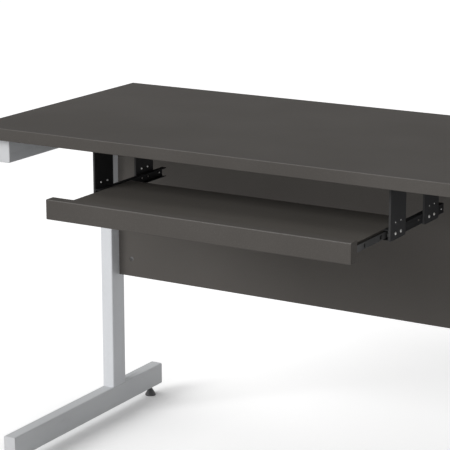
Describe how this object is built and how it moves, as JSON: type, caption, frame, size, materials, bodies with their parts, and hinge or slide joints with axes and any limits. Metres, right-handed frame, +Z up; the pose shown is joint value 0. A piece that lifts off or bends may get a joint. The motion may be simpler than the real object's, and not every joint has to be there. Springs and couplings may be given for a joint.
{
  "type": "computer desk with keyboard tray",
  "caption": "Straight computer desk on silver cantilever leg frames, with a dark top, a modesty panel and a keyboard tray that pulls out on ball-bearing slides.",
  "frame": {"origin": "on the floor, under the middle of the desk's outline with the tray pulled out as in the picture", "axes": "+X to the user's right along the desktop, +Y away from the user, +Z up"},
  "size_m": [1.2, 0.721, 0.745],
  "materials": {
    "grey_melamine": "matt dark grey melamine on chipboard, fine speckle",
    "grey_edging": "matt dark grey edge strip",
    "silver_paint": "fine satin silver powder coat",
    "silver_plastic": "moulded silver grey plastic",
    "black_steel": "satin black coating on pressed steel",
    "grey_steel": "satin grey coating on rolled steel",
    "cage_steel": "plain steel strip",
    "ball_steel": "polished bearing steel",
    "black_plastic": "moulded dark plastic",
    "dark_steel": "dark zinc plate",
    "zinc_steel": "bright zinc plate",
    "beech": "raw beech"
  },
  "bodies": {
    "desk": {"desktop_board": "grey_melamine", "modesty_panel": "grey_melamine", "desktop_front_edge": "grey_edging", "desktop_rear_edge": "grey_edging", "desktop_left_edge": "grey_edging", "desktop_right_edge": "grey_edging", "panel_bottom_edge": "grey_edging", "left_foot": "silver_paint", "left_upright": "silver_paint", "left_top_arm": "silver_paint", "right_foot": "silver_paint", "right_upright": "silver_paint", "right_top_arm": "silver_paint", "left_foot_front_cap": "silver_plastic", "left_foot_rear_cap": "silver_plastic", "left_arm_front_cap": "silver_plastic", "left_arm_rear_cap": "silver_plastic", "right_foot_front_cap": "silver_plastic", "right_foot_rear_cap": "silver_plastic", "right_arm_front_cap": "silver_plastic", "right_arm_rear_cap": "silver_plastic", "front_left_bracket": "black_steel", "front_right_bracket": "black_steel", "rear_left_bracket": "black_steel", "rear_right_bracket": "black_steel", "left_slide_outer": "black_steel", "right_slide_outer": "black_steel", "panel_barrel_nuts": "dark_steel", "desktop_bolts": "zinc_steel", "desktop_inserts": "zinc_steel", "panel_bolts": "zinc_steel", "bracket_screws": "zinc_steel", "bracket_rivets": "zinc_steel", "slide_stop_rivets": "zinc_steel", "slide_bolts": "zinc_steel", "left_glide_nuts": "zinc_steel", "right_glide_nuts": "zinc_steel"},
    "tray": {"tray_board": "grey_melamine", "tray_front_rail": "grey_melamine", "tray_rear_edge": "grey_edging", "rail_dowels": "beech", "rail_cams": "zinc_steel", "rail_cam_pins": "zinc_steel", "left_slide_inner": "grey_steel", "right_slide_inner": "grey_steel", "tray_slide_screws": "black_steel"},
    "left_cage": {"left_ball_cage": "cage_steel", "left_cage_balls": "ball_steel"},
    "right_cage": {"right_ball_cage": "cage_steel", "right_cage_balls": "ball_steel"},
    "front_left_glide": {"front_left_glide_base": "black_plastic", "front_left_glide_stem": "dark_steel"},
    "front_right_glide": {"front_right_glide_base": "black_plastic", "front_right_glide_stem": "dark_steel"},
    "rear_left_glide": {"rear_left_glide_base": "black_plastic", "rear_left_glide_stem": "dark_steel"},
    "rear_right_glide": {"rear_right_glide_base": "black_plastic", "rear_right_glide_stem": "dark_steel"}
  },
  "joints": [
    {"name": "tray_pull", "type": "slide", "parent": "desk", "child": "tray", "axis": [0, -1, 0], "range_m": [-0.135, 0.052]},
    {"name": "left_cage_roll", "type": "slide", "parent": "desk", "child": "left_cage", "axis": [0, -1, 0], "range_m": [-0.0675, 0.026]},
    {"name": "right_cage_roll", "type": "slide", "parent": "desk", "child": "right_cage", "axis": [0, -1, 0], "range_m": [-0.0675, 0.026]},
    {"name": "front_left_glide_height", "type": "slide", "parent": "desk", "child": "front_left_glide", "axis": [0, 0, -1], "range_m": [-0.008, 0.012]},
    {"name": "front_right_glide_height", "type": "slide", "parent": "desk", "child": "front_right_glide", "axis": [0, 0, -1], "range_m": [-0.008, 0.012]},
    {"name": "rear_left_glide_height", "type": "slide", "parent": "desk", "child": "rear_left_glide", "axis": [0, 0, -1], "range_m": [-0.008, 0.012]},
    {"name": "rear_right_glide_height", "type": "slide", "parent": "desk", "child": "rear_right_glide", "axis": [0, 0, -1], "range_m": [-0.008, 0.012]}
  ],
  "couplings": [
    {"joint": "left_cage_roll", "follows": "tray_pull", "ratio": 0.5},
    {"joint": "right_cage_roll", "follows": "tray_pull", "ratio": 0.5}
  ]
}
